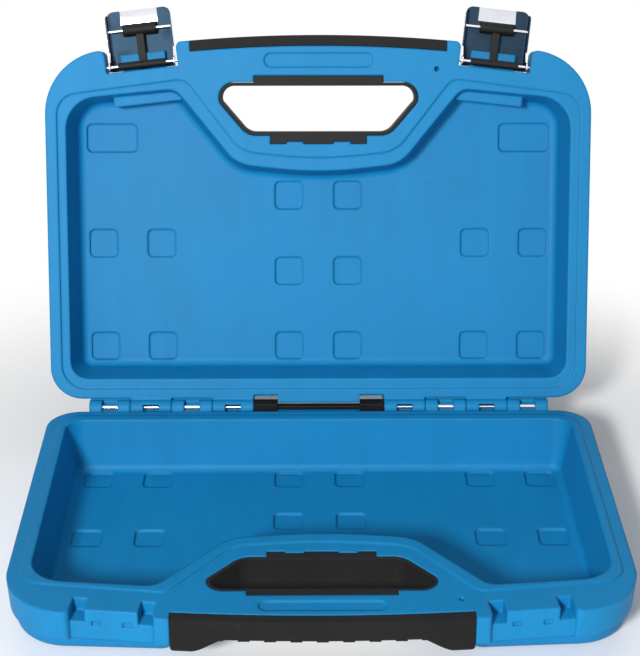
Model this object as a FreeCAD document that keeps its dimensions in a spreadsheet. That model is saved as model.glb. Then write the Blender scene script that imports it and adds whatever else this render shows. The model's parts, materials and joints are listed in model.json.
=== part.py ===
import FreeCAD, Part
import math
import os
import re
import Sketcher

# Hard tool case, standing open on its underside.
# Part frame: X across, -Y to the front (handle side), +Z up, origin at the middle of the underside.
# Both shells are drawn in one case frame: x across, y from the hinge axis towards the handle,
# z down from the parting plane of the closed case. The base lies at z > 0 and the lid at z < 0.

# Driving sizes in millimetres and degrees, one line each: name, value.
SIZES = {
    # Plan of the rim, shared by both shells
    "case_width": 360,
    "hinge_gap": 6,
    "front_corner_reach": 232.9,
    "front_fall": 22.5,
    "front_radius": 1000,
    "bow_share": 0.92,
    "rear_corner_radius": 21,
    "front_corner_radius": 42,
    "closing_gap": 0.1,
    # Depths and walls
    "base_depth": 41,
    "lid_depth": 39,
    "base_floor_depth": 34.6,
    "lid_floor_depth": 31.8,
    "front_depth": 19.7,
    "front_lap": 65,
    "outer_draft": 3,
    "tub_bottom_radius": 8,
    "front_bottom_radius": 3,
    "field_rise": 1,
    "field_inset": 17,
    "field_rear_inset": 13,
    "field_radius": 12,
    # Plan of the outer tub wall; a setback runs from the front corners towards the hinge
    "tub_corner_setback": 15.9,
    "tub_corner_radius": 34,
    "tub_shoulder": 86,
    "tub_shoulder_setback": 10.9,
    "tub_shoulder_radius": 14,
    "tub_waist": 52,
    "tub_waist_setback": 53.4,
    "tub_waist_radius": 18,
    # Plan of the mouth of the cavity
    "mouth_side_wall": 13,
    "mouth_rear_wall": 13,
    "mouth_rear_radius": 12,
    "mouth_corner_setback": 26.9,
    "mouth_corner_radius": 22,
    "mouth_shoulder": 94,
    "mouth_shoulder_setback": 19.9,
    "mouth_shoulder_radius": 11,
    "mouth_waist": 54,
    "mouth_waist_setback": 69.4,
    "mouth_waist_radius": 24,
    "mouth_middle_setback": 75.4,
    "mouth_middle_radius": 250,
    "inner_draft": 9,
    "floor_edge_radius": 5,
    # Seal: the land around the base's mouth stands up into a recess of the lid's rim
    "seal_side_wall": 7.7,
    "seal_rear_wall": 6.6,
    "seal_rear_radius": 16,
    "seal_corner_setback": 24.9,
    "seal_corner_radius": 14,
    "seal_shoulder": 88,
    "seal_shoulder_setback": 13.9,
    "seal_shoulder_radius": 10,
    "seal_waist": 51.5,
    "seal_waist_setback": 61.4,
    "seal_waist_radius": 22,
    "seal_middle_setback": 67.1,
    "seal_middle_radius": 260,
    "seal_height": 0.9,
    "seal_clearance": 0.25,
    # Square pads pressed into both floors
    "pad_side": 19,
    "pad_depth": 1.6,
    "pad_radius": 3.5,
    "pad_inner_x": 20,
    "pad_outer_inset": 33.5,
    "pad_pitch": 39.5,
    "pad_rear_reach": 37,
    "pad_side_reach": 108,
    "pad_near_reach": 88.8,
    "pad_far_reach": 140.6,
    "pad_wide_inset": 40.5,
    "pad_wide_width": 34,
    "pad_wide_setback": 53.4,
    # Boss behind each latch on the cavity's front wall
    "boss_half_width": 22.3,
    "boss_setback": 30.2,
    "boss_level": 12,
    # Opening for the hand
    "hand_half_width": 65.8,
    "hand_front_setback": 15.9,
    "hand_front_radius": 10,
    "hand_widest_setback": 28.9,
    "hand_widest_radius": 8,
    "hand_rear_half_width": 47,
    "hand_rear_setback": 50.9,
    "hand_rear_radius": 13,
    "front_tab_half_width": 42.8,
    "front_tab_length": 4.4,
    "rear_tab_half_width": 31.9,
    "rear_tab_length": 5.5,
    "tab_thickness": 2.3,
    "clip_x": 15.6,
    "clip_width": 11,
    "clip_length": 1.5,
    "liner_wall": 2.2,
    "liner_depth": 22,
    "liner_clearance": 0.2,
    "parting_gap": 0.15,
    # Handle bar and grip
    "bar_depth": 12.9,
    "grip_half_width": 84.5,
    "grip_strip": 7,
    "grip_depth": 15.4,
    "grip_foot_depth": 23.8,
    "grip_foot_inner": 61,
    "grip_foot_outer": 75,
    "grip_foot_radius": 9,
    "grip_foot_corner_radius": 5,
    "grip_clearance": 0.2,
    "grip_edge_radius": 6,
    "rib_count": 9,
    "rib_pitch": 14.5,
    "rib_width": 6.5,
    "rib_height": 0.7,
    "rib_radius": 2.8,
    "slot_half_length": 35.7,
    "slot_setback": 1.6,
    "slot_width": 9.4,
    "slot_depth": 1.2,
    "vent_x": 77.8,
    "vent_setback": 7.4,
    "vent_diameter": 3,
    "vent_depth": 6,
    # Hinge
    "open_angle": 107.6,
    "knuckle_radius": 5,
    "knuckle_start": 44,
    "knuckle_count": 4,
    "knuckle_length": 27.6,
    "knuckle_clearance": 0.35,
    "web_bite": 2,
    "window_length": 10.4,
    "window_half_height": 2.5,
    "pin_diameter": 3,
    "pin_clearance": 0.05,
    "pin_end_wall": 2,
    "pin_end_gap": 0.4,
    "foot_overhang": 7,
    "foot_bottom": 31,
    "stop_gap": 0.15,
    # Pin retainer between the innermost knuckles, and the lid's shelf over its bar
    "block_length": 16,
    "block_half_height": 3.9,
    "retainer_bar_width": 4.4,
    "retainer_bar_rise": 1.5,
    "ledge_gap": 0.2,
    "ledge_overhang": 3.2,
    "peg_diameter": 3,
    "peg_length": 4,
    "peg_clearance": 0.1,
    "lid_notch_depth": 2.2,
    "shelf_reach": 2.9,
    "shelf_depth": 5,
    # Latch, measured from its pivot on the lid
    "latch_inset": 64,
    "latch_turn": 6.3,
    "pivot_setback": 4.2,
    "pivot_depth": 4.5,
    "channel_half_width": 23.6,
    "channel_rear_gap": 3.5,
    "channel_front_gap": 7.6,
    "channel_reach": 42,
    "channel_edge_radius": 4,
    "keeper_half_width": 15,
    "pocket_depth": 8,
    "tongue_depth": 16.3,
    "tongue_thickness": 1.8,
    "dimple_width": 5,
    "dimple_height": 3,
    "dimple_depth": 1.2,
    "dimple_offset": 8.8,
    "dimple_level": 7.5,
    "cover_width": 43.5,
    "cover_sheet": 0.9,
    "cover_reach": 15.9,
    "cover_bend_radius": 1.6,
    "cover_length": 36.5,
    "cover_flange": 8,
    "cover_shoulder": 9,
    "cover_shoulder_radius": 3,
    "cover_corner_radius": 5.5,
    "ear_radius": 3,
    "lip_half_width": 13.4,
    "lip_length": 9,
    "lip_rise": 2.4,
    "rod_diameter": 2,
    "rod_clearance": 0.05,
    "rod_bite": 4,
    "barrel_along": 23.3,
    "barrel_offset": 11.8,
    "barrel_diameter": 7.8,
    "barrel_length": 22,
    "bar_diameter": 5,
    "bar_length": 31.4,
    "stem_width": 5,
    "stem_thickness": 2,
    "stem_offset": 10.4,
    "stem_bend_radius": 1.5,
    # How far a cutting profile runs past what it cuts
    "overrun": 6,
}

doc = FreeCAD.newDocument("tool_case")
sheet = doc.addObject("Spreadsheet::Sheet", "sizes")
for row, (size_name, size_value) in enumerate(SIZES.items(), start=1):
    sheet.set(f"A{row}", size_name)
    sheet.set(f"B{row}", str(size_value))
    sheet.setAlias(f"B{row}", size_name)
doc.recompute()

NAME = re.compile(r"[A-Za-z_]+")


def bound(text):
    """Write an expression with each named size as its cell in the sheet."""
    return NAME.sub(lambda found: f"sizes.{found[0]}" if found[0] in SIZES else found[0], str(text))


def value(text):
    """Work out an expression now, to place geometry near its constraints."""
    found = sheet.evalExpression(bound(text))
    return float(getattr(found, "Value", found))


# Derived sizes, as expressions of the named ones
HALF_WIDTH = "(case_width / 2)"
BOW_LIMIT = f"(bow_share * ({HALF_WIDTH} - front_corner_radius) * {HALF_WIDTH} / front_fall)"
ARC_RADIUS = f"min(front_radius; {BOW_LIMIT})"
APEX = "(front_corner_reach + front_fall)"
FRONT_REACH = f"({APEX} - {ARC_RADIUS} * (sqrt(1 + (front_fall / {HALF_WIDTH})^2) - 1))"
HINGE_Y = f"((hinge_gap + {FRONT_REACH}) / 2)"
HINGE_Z = "(base_depth + field_rise)"
LATCH_X = f"({HALF_WIDTH} - latch_inset)"


def front_line(across, inset="0"):
    """Distance from the hinge axis to the curved front edge at one place across the case."""
    bow = f"({ARC_RADIUS} - ({inset}))"
    return f"({FRONT_REACH} - ({inset}) - {bow} + sqrt({bow}^2 - ({across})^2))"


def behind(name):
    """Distance from the hinge axis to what is set back from the front corners."""
    return f"(front_corner_reach - {name}_setback)"


TUB_WAIST = behind("tub_waist")
HAND_FRONT = behind("hand_front")
HAND_REAR = behind("hand_rear")
PIVOT = behind("pivot")

# Building blocks


def new_body(label):
    """Start one separate piece of the case."""
    made = doc.addObject("PartDesign::Body", label)
    made.Label = label
    return made


def own_plane(owner, role):
    """Find one of the planes of a body's own origin."""
    return next(item for item in owner.Origin.OriginFeatures if item.Role == role)


def new_sketch(owner, name, role="XY_Plane", at=("0", "0", "0")):
    """Lay a sketch on one of the body's own planes, moved by named distances."""
    made = owner.newObject("Sketcher::SketchObject", name)
    made.AttachmentSupport = [(own_plane(owner, role), "")]
    made.MapMode = "FlatFace"
    for axis, text in zip("xyz", at):
        made.setExpression(f".AttachmentOffset.Base.{axis}", bound(text))
    return made


def point_rules(index, place, x, y):
    """Constraints that hold a point of a sketch at named distances from its origin."""
    return [
        (Sketcher.Constraint("DistanceX", -1, 1, index, place, value(x)), x),
        (Sketcher.Constraint("DistanceY", -1, 1, index, place, value(y)), y),
    ]


def hold(sketch, rules):
    """Add constraints together, each with the expression that drives it, or None."""
    numbers = sketch.addConstraint([rule for rule, text in rules])
    for number, (rule, text) in zip(numbers, rules):
        if text is not None:
            sketch.setExpression(f"Constraints[{number}]", bound(text))


def draw_arc(sketch, centre, radius, start, end):
    """Add the arc about a centre that runs anticlockwise from one point to another."""
    first = math.atan2(start.y - centre.y, start.x - centre.x)
    last = math.atan2(end.y - centre.y, end.x - centre.x)
    if last < first:
        last += 2 * math.pi
    circle = Part.Circle(centre, FreeCAD.Vector(0, 0, 1), radius)
    return sketch.addGeometry(Part.ArcOfCircle(circle, first, last), False)


def draw_outline(sketch, corners, bow=None):
    """Draw a closed anticlockwise outline of sharp (x, y) and rounded (x, y, radius) corners.

    A bow of (side, radius) draws that one side, between sharp corners, as an arc that bulges out
    of the case's front, so the outline runs along it from right to left or holds it clockwise.
    """
    points = [FreeCAD.Vector(value(corner[0]), value(corner[1]), 0) for corner in corners]
    count = len(points)
    ends = {}
    arcs = {}
    for place, corner in enumerate(corners):
        here = points[place]
        into = (here - points[place - 1]).normalize()
        out = (points[(place + 1) % count] - here).normalize()
        ends[place] = (here, here)
        if len(corner) < 3:
            continue
        radius = value(corner[2])
        turn = math.atan2(into.x * out.y - into.y * out.x, into.dot(out))
        reach = radius * math.tan(abs(turn) / 2)
        start = here - into * reach
        end = here + out * reach
        side = 1 if turn > 0 else -1
        centre = start + FreeCAD.Vector(-into.y, into.x, 0) * radius * side
        first, last = (start, end) if side > 0 else (end, start)
        arcs[place] = (draw_arc(sketch, centre, radius, first, last), side)
        ends[place] = (start, end)
    sides = []
    rules = []
    forward = {}
    for place in range(count):
        start = ends[place][1]
        end = ends[(place + 1) % count][0]
        forward[place] = (1, 2)
        if bow is None or place != bow[0]:
            sides.append(sketch.addGeometry(Part.LineSegment(start, end), False))
            continue
        radius = value(bow[1])
        middle = (start + end) * 0.5
        drop = math.sqrt(radius * radius - (end - start).Length ** 2 / 4)
        centre = middle - FreeCAD.Vector(0, drop, 0)
        if start.x < end.x:
            start, end = end, start
            forward[place] = (2, 1)
        sides.append(draw_arc(sketch, centre, radius, start, end))
        rules.append((Sketcher.Constraint("Radius", sides[place], radius), bow[1]))
    for place, corner in enumerate(corners):
        before = sides[place - 1]
        after = sides[place]
        leave = forward[(place - 1) % count][1]
        enter = forward[place][0]
        if place not in arcs:
            rules.append((Sketcher.Constraint("Coincident", before, leave, after, enter), None))
            rules += point_rules(after, enter, corner[0], corner[1])
            continue
        arc, side = arcs[place]
        first, last = (1, 2) if side > 0 else (2, 1)
        mark = sketch.addGeometry(Part.Point(points[place]), True)
        rules += point_rules(mark, 1, corner[0], corner[1])
        rules.append((Sketcher.Constraint("PointOnObject", mark, 1, before), None))
        rules.append((Sketcher.Constraint("PointOnObject", mark, 1, after), None))
        rules.append((Sketcher.Constraint("Tangent", before, leave, arc, first), None))
        rules.append((Sketcher.Constraint("Tangent", arc, last, after, enter), None))
        rules.append((Sketcher.Constraint("Radius", arc, value(corner[2])), corner[2]))
    hold(sketch, rules)


def draw_box(sketch, low_x, low_y, high_x, high_y, radius=None):
    """Draw a rectangle between named edges, with rounded corners where a radius is given."""
    corners = [(low_x, low_y), (high_x, low_y), (high_x, high_y), (low_x, high_y)]
    if radius:
        corners = [corner + (radius,) for corner in corners]
    draw_outline(sketch, corners)


def finish(owner, made):
    """Work out a new feature alone, on the features before it."""
    made.Refine = False
    made.recompute()
    if made.Shape.isNull():
        raise ValueError(f"{made.Name} fails on {owner.Label}")
    return made


def add_pad(owner, name, sketch, length, flip=False, draft=None):
    """Grow the body from a sketch, along its normal or against it."""
    sketch.recompute()
    made = owner.newObject("PartDesign::Pad", name)
    made.Profile = sketch
    made.Reversed = flip
    made.setExpression("Length", bound(length))
    if draft:
        made.setExpression("TaperAngle", bound(f"-({draft})"))
    return finish(owner, made)


def add_fillet(owner, name, radius, chosen):
    """Round the edges of the body so far that the test picks."""
    base = owner.Tip
    picked = [f"Edge{place}" for place, edge in enumerate(base.Shape.Edges, start=1) if chosen(edge)]
    if not picked:
        raise ValueError(f"{name} finds no edge on {owner.Label}")
    made = owner.newObject("PartDesign::Fillet", name)
    made.Base = (base, picked)
    made.setExpression("Radius", bound(radius))
    return finish(owner, made)


NEAR = 1e-3


def at_level(level):
    """Pick the edges that lie flat at one depth."""
    height = value(level)

    def chosen(edge):
        box = edge.BoundBox
        return abs(box.ZMin - height) < NEAR and abs(box.ZMax - height) < NEAR

    return chosen


def free_sketch(name, role="XY_Plane", at=("0", "0", "0")):
    """Lay a sketch on a plane of the case frame, through a named point."""
    made = doc.addObject("Sketcher::SketchObject", name)
    turns = {
        "XY_Plane": FreeCAD.Rotation(),
        "XZ_Plane": FreeCAD.Rotation(FreeCAD.Vector(1, 0, 0), 90),
        "YZ_Plane": FreeCAD.Rotation(FreeCAD.Vector(1, 1, 1), 120),
    }
    made.Placement = FreeCAD.Placement(FreeCAD.Vector(), turns[role])
    for axis, text in zip("xyz", at):
        made.setExpression(f".Placement.Base.{axis}", bound(text))
    return made


def grow(name, sketch, length, flip=False):
    """Extrude a sketch along its normal, or against it when flipped."""
    made = doc.addObject("Part::Extrusion", name)
    made.Base = sketch
    made.DirMode = "Normal"
    made.Solid = True
    made.Reversed = flip
    made.setExpression("LengthFwd", bound(length))
    return made


def frame_of(x, y, z, axis, angle):
    """Expression of a placement at a named point, turned about one axis."""
    turned = "; ".join(str(part) for part in axis)
    spin = f"create(<<rotation>>; create(<<vector>>; {turned}); {angle})"
    return f"create(<<placement>>; create(<<vector>>; {x}; {y}; {z}); {spin})"


def latch_frame(hand, level):
    """Frame at a latch, turned along the bowed front edge."""
    return frame_of(f"({hand} * {LATCH_X})", PIVOT, level, (0, 0, 1), f"(-{hand} * latch_turn)")


def put(made, inner, frame):
    """Place an object by an expression, inside another frame where one is given."""
    made.setExpression("Placement", bound(f"{frame} * {inner}" if frame else inner))
    return made


def block(name, low, high, frame=None):
    """Box between two named corners."""
    made = doc.addObject("Part::Box", name)
    for side, near, far in zip(("Length", "Width", "Height"), low, high):
        made.setExpression(side, bound(f"({far}) - ({near})"))
    return put(made, frame_of(low[0], low[1], low[2], (0, 0, 1), "0"), frame)


def rod_across(name, start, length, radius, y="0", z="0", frame=None):
    """Cylinder that runs across the case from a named place."""
    made = doc.addObject("Part::Cylinder", name)
    made.setExpression("Radius", bound(radius))
    made.setExpression("Height", bound(length))
    return put(made, frame_of(start, y, z, (0, 1, 0), "90"), frame)


def upright(name, x, y, z, diameter, height):
    """Cylinder that rises from a named point along z."""
    made = doc.addObject("Part::Cylinder", name)
    made.setExpression("Radius", bound(f"({diameter}) / 2"))
    made.setExpression("Height", bound(height))
    return put(made, frame_of(x, y, z, (0, 0, 1), "0"), None)


def join(name, parts):
    """Fuse several forms into one."""
    if len(parts) == 1:
        return parts[0]
    made = doc.addObject("Part::MultiFuse", name)
    made.Shapes = parts
    return made


def overlap(name, parts):
    """Keep only what all the forms share."""
    made = doc.addObject("Part::MultiCommon", name)
    made.Shapes = parts
    return made


def carve(name, form, tool):
    """Cut one form out of another."""
    made = doc.addObject("Part::Cut", name)
    made.Base = form
    made.Tool = tool
    return made


def carry(name, parts):
    """Piece made of plain forms: fused where there are several, else a holder of the one."""
    if len(parts) > 1:
        return join(name, parts)
    made = doc.addObject("Part::Refine", name)
    made.Source = parts[0]
    return made


BLOCK_OUTER = "(knuckle_start - knuckle_clearance)"
BLOCK_INNER = "(knuckle_start - knuckle_clearance - block_length)"
PEG_X = "(knuckle_start - knuckle_clearance - block_length / 2)"


# Outlines shared by the two shells


def rim_outline(inset="0"):
    """Plan of the rim: straight sides and rear, round corners and a gently bowed front."""
    side = f"({HALF_WIDTH} - ({inset}))"
    rear = f"(hinge_gap + ({inset}))"
    front = f"(front_corner_reach - ({inset}))"
    rear_radius = f"(rear_corner_radius - ({inset}))"
    front_radius = f"(front_corner_radius - ({inset}))"
    return [
        (f"-{side}", rear, rear_radius),
        (side, rear, rear_radius),
        (side, front, front_radius),
        ("0", f"({APEX} - ({inset}))", ARC_RADIUS),
        (f"-{side}", front, front_radius),
    ]


def bay_outline(name, side, rear, offset="0"):
    """Plan with a bay around the hand opening; the offset moves every side outwards."""
    fall = f"({name}_shoulder_setback - {name}_waist_setback)"
    slide = f"{fall} / ({name}_shoulder - {name}_waist)"
    shift = f"(({offset}) * (sqrt(1 + ({slide})^2) + ({slide})))"
    side = f"({side} + ({offset}))"
    rear = f"({rear} - ({offset}))"
    corner = f"({behind(name + '_corner')} + ({offset}))"
    shoulder = f"({name}_shoulder - {shift})"
    waist = f"({name}_waist - {shift})"
    shoulder_reach = f"({behind(name + '_shoulder')} + ({offset}))"
    waist_reach = f"({behind(name + '_waist')} + ({offset}))"
    middle = []
    if name != "tub":
        middle = [("0", f"({behind(name + '_middle')} + ({offset}))", f"{name}_middle_radius")]
    right = [
        (side, corner, f"({name}_corner_radius + ({offset}))"),
        (shoulder, shoulder_reach, f"({name}_shoulder_radius + ({offset}))"),
        (waist, waist_reach, f"({name}_waist_radius - ({offset}))"),
    ]
    left = [(f"-{x}", y, radius) for x, y, radius in reversed(right)]
    rear_radius = f"({'rear_corner' if name == 'tub' else name + '_rear'}_radius + ({offset}))"
    return [(f"-{side}", rear, rear_radius), (side, rear, rear_radius)] + right + middle + left


def hand_outline(inset="0"):
    """Plan of the hand opening, drawn in by an inset on every side."""
    slope = "((hand_half_width - hand_rear_half_width) / (hand_rear_setback - hand_widest_setback))"
    rear_half = f"(hand_rear_half_width - ({inset}) * (sqrt(1 + {slope}^2) - {slope}))"
    rear = f"({HAND_REAR} + ({inset}))"
    half = f"(hand_half_width - ({inset}))"
    widest = f"({behind('hand_widest')} + ({inset}) * (sqrt(1 + {slope}^2) - 1) / {slope})"
    front = f"({HAND_FRONT} - ({inset}))"
    right = [
        (rear_half, rear, f"(hand_rear_radius - ({inset}))"),
        (half, widest, f"(hand_widest_radius - ({inset}))"),
        (half, front, f"(hand_front_radius - ({inset}))"),
    ]
    return right + [(f"-{x}", y, radius) for x, y, radius in reversed(right)]


def strip_outline(half, rear, inset="0"):
    """Plan of a strip behind the bowed front edge, and the side of it that is the bow."""
    reach = front_line(half, inset)
    corners = [(f"-{half}", rear), (half, rear), (half, reach), (f"-{half}", reach)]
    return corners, (2, f"({ARC_RADIUS} - ({inset}))")


def knuckle_span(place, hand):
    """Start and length of one knuckle, counted from the middle, on the left (-1) or right (1)."""
    start = f"(knuckle_start + {place} * knuckle_length + knuckle_clearance / 2)"
    length = "(knuckle_length - knuckle_clearance)"
    if hand < 0:
        start = f"(-{start} - {length})"
    return start, length


def depths(low, high, lid):
    """A range of depths below the parting plane, as levels of the base or of the lid."""
    return (f"(-({high}))", f"(-({low}))") if lid else (low, high)


def make_form(label, outline, depth, lid, draft, rounding, level="0", bow=None, edge_reach=None):
    """Grow one drafted form from a plan and round the edge of its far face."""
    form = new_body(label)
    sign = "-" if lid else ""
    plan = new_sketch(form, f"{label}_plan", at=("0", "0", f"({sign}({level}))"))
    draw_outline(plan, outline, bow)
    add_pad(form, f"{label}_pad", plan, depth, lid, draft)
    if rounding:
        far = at_level(f"({sign}({level} + {depth}))")
        wanted = far
        if edge_reach:
            wanted = lambda edge: far(edge) and edge.BoundBox.Center.y > value(edge_reach)
        add_fillet(form, f"{label}_rounding", rounding, wanted)
    return form


def make_shell(label, down, depth, floor_depth, knuckles):
    """One moulded half of the case. down is 1 for the base and -1 for the lid."""
    lid = down < 0
    sign = "-" if lid else ""
    whole = []
    cuts = []

    # The shallower front, the deep tub behind it and the raised field that the tub stands on
    rim = "closing_gap" if lid else "0"
    reach = f"({TUB_WAIST} - front_lap)"
    front = make_form(
        f"{label}_front",
        front_outline(reach),
        f"(front_depth - {rim})",
        lid,
        "outer_draft",
        "front_bottom_radius",
        rim,
        edge_reach=f"({reach} + overrun)",
    )
    whole.append(front)
    tub = make_form(
        f"{label}_tub",
        bay_outline("tub", HALF_WIDTH, "hinge_gap"),
        f"({depth} - {rim})",
        lid,
        "outer_draft",
        "tub_bottom_radius",
        rim,
    )
    plan = new_sketch(tub, f"{label}_field_plan", at=("0", "0", f"{sign}{depth}"))
    draw_box(
        plan,
        f"-({HALF_WIDTH} - field_inset)",
        "(hinge_gap + field_rear_inset)",
        f"({HALF_WIDTH} - field_inset)",
        f"({TUB_WAIST} - field_inset)",
        "field_radius",
    )
    add_pad(tub, f"{label}_field", plan, "field_rise", lid)
    whole.append(tub)

    # Cavity with its rounded floor edge, and the bosses that stand in it behind the latches
    outline = bay_outline("mouth", f"({HALF_WIDTH} - mouth_side_wall)", "(hinge_gap + mouth_rear_wall)")
    cavity = make_form(
        f"{label}_cavity", outline, floor_depth, lid, "inner_draft", "floor_edge_radius"
    )
    bosses = []
    for hand in (-1, 1):
        low_z, high_z = depths("boss_level", f"({floor_depth} + overrun)", lid)
        low = ("(-boss_half_width)", "(-boss_setback + pivot_setback)", low_z)
        high = ("boss_half_width", "0", high_z)
        bosses.append(block(f"{label}_boss", low, high, latch_frame(hand, "0")))
    cuts.append(carve(f"{label}_cavity_room", cavity, join(f"{label}_bosses", bosses)))

    # Pads pressed into the floor, row by row
    outer = f"({HALF_WIDTH} - pad_outer_inset)"
    middle = f"({outer} - pad_pitch)"
    rows = [
        ("rear", "pad_rear_reach", "pad_side", ("pad_inner_x", middle, outer)),
        ("side", "pad_side_reach", "pad_side", (middle, outer)),
        ("near", "pad_near_reach", "pad_side", ("pad_inner_x",)),
        ("far", "pad_far_reach", "pad_side", ("pad_inner_x",)),
        ("wide", behind("pad_wide"), "pad_wide_width", (f"({HALF_WIDTH} - pad_wide_inset)",)),
    ]
    for row, reach, width, places in rows:
        for hand in (-1, 1):
            plan = free_sketch(f"{label}_{row}_pad_plan", at=("0", "0", f"{sign}{floor_depth}"))
            for x in places:
                draw_box(
                    plan,
                    f"({hand} * {x} - {width} / 2)",
                    f"({reach} - pad_side / 2)",
                    f"({hand} * {x} + {width} / 2)",
                    f"({reach} + pad_side / 2)",
                    "pad_radius",
                )
            cuts.append(grow(f"{label}_{row}_pads", plan, "pad_depth", lid))

    # Rear feet under the knuckles: their slanted tops meet as the stop of the open lid
    slope = "tan(open_angle / 2)"
    top = "(knuckle_radius + knuckle_clearance)"
    lip = f"(({top} - stop_gap) / {slope})"
    foot = [
        (f"-{lip}", f"{sign}{top}"),
        ("-foot_overhang", f"{sign}(foot_overhang * {slope} + stop_gap)"),
        ("-foot_overhang", f"{sign}foot_bottom"),
        ("(hinge_gap + web_bite)", f"{sign}foot_bottom"),
        ("(hinge_gap + web_bite)", f"{sign}{top}"),
    ]
    row = "(knuckle_count * knuckle_length)"
    for start in ("knuckle_start", f"(-knuckle_start - {row})"):
        profile = free_sketch(f"{label}_foot_profile", "YZ_Plane", (start, "0", "0"))
        draw_outline(profile, foot)
        whole.append(grow(f"{label}_foot", profile, row))

    # Knuckles on their webs, with the windows that show the pins
    tangent = "(hinge_gap + web_bite + knuckle_radius * sqrt(2))"
    web = [
        ("0", f"{sign}{rim}"),
        ("(hinge_gap + web_bite)", f"{sign}{rim}"),
        ("(hinge_gap + web_bite)", f"{sign}{tangent}"),
        ("-(knuckle_radius / sqrt(2))", f"{sign}(knuckle_radius / sqrt(2))"),
    ]
    reach = "(knuckle_radius + overrun)"
    window = depths(f"(-{reach})", "(pin_diameter / 4)", lid)
    window_front = "window_half_height" if lid else "(hinge_gap - stop_gap)"
    for hand in (-1, 1):
        for place in knuckles:
            start, length = knuckle_span(place, hand)
            profile = free_sketch(f"{label}_web_profile", "YZ_Plane", (start, "0", "0"))
            draw_outline(profile, web)
            whole.append(grow(f"{label}_web", profile, length))
            whole.append(rod_across(f"{label}_knuckle", start, length, "knuckle_radius"))
            start = f"({start} + ({length} - window_length) / 2)"
            low = (start, "(-window_half_height)", window[0])
            high = (f"({start} + window_length)", window_front, window[1])
            cuts.append(block(f"{label}_window", low, high))

    # Bores for the hinge pins, blind at the outer end
    for hand in (-1, 1):
        start = "(knuckle_start - overrun)"
        length = f"({row} + overrun - pin_end_wall)"
        if hand < 0:
            start = f"(-{start} - {length})"
        cuts.append(rod_across(f"{label}_bore", start, length, "(pin_diameter / 2 + pin_clearance)"))

    # The base carries the pin retainer; the lid has a shelf over its bar and a notch over each block
    if lid:
        half = "(knuckle_start - block_length - 2 * knuckle_clearance)"
        reach = "(hinge_gap + web_bite)"
        profile = free_sketch(f"{label}_shelf_profile", "YZ_Plane", (f"(-{half})", "0", "0"))
        draw_outline(
            profile,
            [
                ("shelf_reach", "(-closing_gap)"),
                (reach, "(-closing_gap)"),
                (reach, f"(-(shelf_depth + {reach}))"),
                ("shelf_reach", "(-shelf_depth)"),
            ],
        )
        whole.append(grow(f"{label}_shelf", profile, f"(2 * {half})"))
        inner = "(knuckle_start - 3 * knuckle_clearance / 2 - block_length)"
        outer = "(knuckle_start - knuckle_clearance / 2)"
        deep = "(knuckle_radius + lid_notch_depth)"
        for ends in ((f"(-{outer})", f"(-{inner})"), (inner, outer)):
            low = (ends[0], "(hinge_gap - overrun)", f"(-{deep})")
            high = (ends[1], "(hinge_gap + lid_notch_depth)", "overrun")
            cuts.append(block(f"{label}_notch", low, high))
    else:
        add_retainer_ledge(whole, cuts)

    # Seal: the land that stands up around the base's mouth, or the lid's recess that takes it
    plan = free_sketch(f"{label}_seal_plan")
    side = f"({HALF_WIDTH} - seal_side_wall)"
    if lid:
        draw_outline(plan, bay_outline("seal", side, "(hinge_gap + seal_rear_wall)", "seal_clearance"))
        deep = f"(seal_height + seal_clearance + {rim})"
        cuts.append(grow(f"{label}_seal_recess", plan, deep, True))
    else:
        draw_outline(plan, bay_outline("seal", side, "(hinge_gap + seal_rear_wall)"))
        draw_outline(plan, outline)
        whole.append(grow(f"{label}_seal_land", plan, "seal_height", True))

    # Opening for the hand, with the seats of the liner's tabs
    plan = free_sketch(f"{label}_hand_plan", at=("0", "0", f"-({sign}overrun)"))
    draw_outline(plan, hand_outline())
    cuts.append(grow(f"{label}_hand_opening", plan, f"({depth} + 2 * overrun)", lid))
    seat = depths("-overrun", "(tab_thickness + liner_clearance)", lid)
    low = ("(-front_tab_half_width)", f"({HAND_FRONT} - overrun)", seat[0])
    high = ("front_tab_half_width", f"({HAND_FRONT} + front_tab_length)", seat[1])
    cuts.append(block(f"{label}_front_tab_seat", low, high))
    reach = f"({HAND_REAR} - rear_tab_length)"
    low = ("(-rear_tab_half_width)", reach, seat[0])
    high = ("rear_tab_half_width", f"({HAND_REAR} + overrun)", seat[1])
    clips = clip_blocks(f"{label}_clip", reach, "0", seat)
    cuts.append(carve(f"{label}_rear_tab_seat", block(f"{label}_rear_tab_room", low, high), clips))

    # Bar inside the grip: set back behind the grip's strip and cut away under it
    ahead = f"({FRONT_REACH} + overrun)"
    plan = free_sketch(f"{label}_strip_plan", at=("0", "0", f"-({sign}overrun)"))
    seat = front_line("grip_half_width", "grip_strip")
    corners = [
        ("(-grip_half_width)", seat),
        ("grip_half_width", seat),
        ("grip_half_width", ahead),
        ("(-grip_half_width)", ahead),
    ]
    draw_outline(plan, corners, (0, f"({ARC_RADIUS} - grip_strip)"))
    cuts.append(grow(f"{label}_strip_seat", plan, "(front_depth + 2 * overrun)", lid))
    under = depths("bar_depth", "(front_depth + overrun)", lid)
    low = ("(-grip_half_width)", HAND_FRONT, under[0])
    cuts.append(block(f"{label}_bar_relief", low, ("grip_half_width", ahead, under[1])))

    # Long shallow slot in the bar, and the blow hole beside it
    plan = free_sketch(f"{label}_slot_plan")
    draw_box(
        plan,
        "(-slot_half_length)",
        f"({behind('slot')} - slot_width / 2)",
        "slot_half_length",
        f"({behind('slot')} + slot_width / 2)",
        "(slot_width / 2 - stop_gap)",
    )
    cuts.append(grow(f"{label}_slot", plan, "slot_depth", lid))
    start = depths("0", "vent_depth", lid)[0]
    reach = behind("vent")
    cuts.append(upright(f"{label}_vent", "vent_x", reach, start, "vent_diameter", "vent_depth"))

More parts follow.
